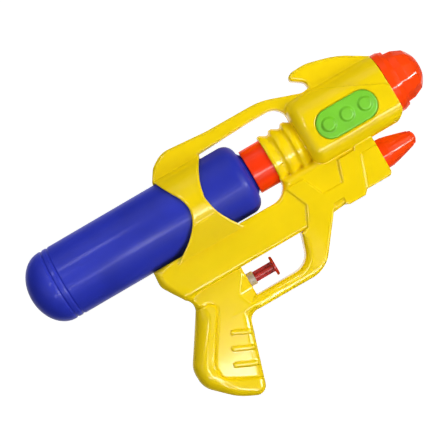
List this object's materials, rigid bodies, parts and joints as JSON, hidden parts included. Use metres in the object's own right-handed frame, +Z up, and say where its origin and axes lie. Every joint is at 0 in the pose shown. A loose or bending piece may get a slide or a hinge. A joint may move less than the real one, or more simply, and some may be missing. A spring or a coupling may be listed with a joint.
{
  "type": "water squirter",
  "caption": "Hand-held water squirter: moulded pistol body with carrying bar, screw-in rear tank, plunger trigger that drives a piston pump in the grip, and a faceted jet muzzle.",
  "frame": {"origin": "Middle of the hand grip, on the parting plane of the two body halves.", "axes": "+X runs along the tank axis towards the muzzle, +Z is up, and +Y points to the left side of a person who aims it."},
  "size_m": [0.2933, 0.0544, 0.17],
  "materials": {
    "yellow_shell": "polished injection moulding",
    "green_trim": "satin injection moulding",
    "orange_nozzle": "polished injection moulding",
    "red_orange_cap": "polished injection moulding",
    "blue_tank": "satin blow moulding",
    "dark_red_trigger": "polished injection moulding",
    "milky_plastic": "natural polyethylene",
    "soft_tube": "soft translucent tube",
    "black_rubber": "plain rubber",
    "spring_steel": "bright steel"
  },
  "bodies": {
    "housing": {"housing_right": "yellow_shell", "housing_left": "yellow_shell", "side_panel_right": "green_trim", "side_panel_left": "green_trim", "muzzle": "orange_nozzle", "lower_nozzle": "orange_nozzle", "tank_cap": "red_orange_cap", "suction_elbow": "milky_plastic", "dip_tube": "soft_tube", "suction_hose": "soft_tube", "pump_cylinder": "milky_plastic", "inlet_elbow": "milky_plastic", "outlet_elbow": "milky_plastic", "delivery_hose": "soft_tube", "gland": "milky_plastic", "return_spring": "spring_steel", "screw_bar": "spring_steel", "screw_pod_rear": "spring_steel", "screw_pod_front": "spring_steel", "screw_beam": "spring_steel", "screw_fore_end": "spring_steel", "screw_grip_top": "spring_steel", "screw_grip_foot": "spring_steel"},
    "trigger": {"trigger": "dark_red_trigger", "piston_ring": "black_rubber"},
    "tank_gasket": {"tank_gasket": "black_rubber"},
    "tank": {"tank": "blue_tank"},
    "inlet_ball": {"inlet_ball": "milky_plastic"},
    "outlet_ball": {"outlet_ball": "milky_plastic"}
  },
  "joints": [
    {"name": "trigger_pull", "type": "slide", "parent": "housing", "child": "trigger", "axis": [-1, 0, 0], "range_m": [0, 0.01], "stiffness_N_per_m": 300, "springref_m": -0.004, "deforming": ["return_spring"]},
    {"name": "tank_turn", "type": "hinge", "parent": "housing", "child": "tank_gasket", "pos_m": [0.083, 0, 0.092], "axis": [-1, 0, 0], "range_deg": [0, 540]},
    {"name": "tank_withdraw", "type": "slide", "parent": "tank_gasket", "child": "tank", "axis": [-1, 0, 0], "range_m": [0, 0.17]},
    {"name": "inlet_ball_lift", "type": "slide", "parent": "housing", "child": "inlet_ball", "axis": [0, 0, 1], "range_m": [0, 0.0011]},
    {"name": "outlet_ball_lift", "type": "slide", "parent": "housing", "child": "outlet_ball", "axis": [0, 0, 1], "range_m": [0, 0.0011]}
  ]
}
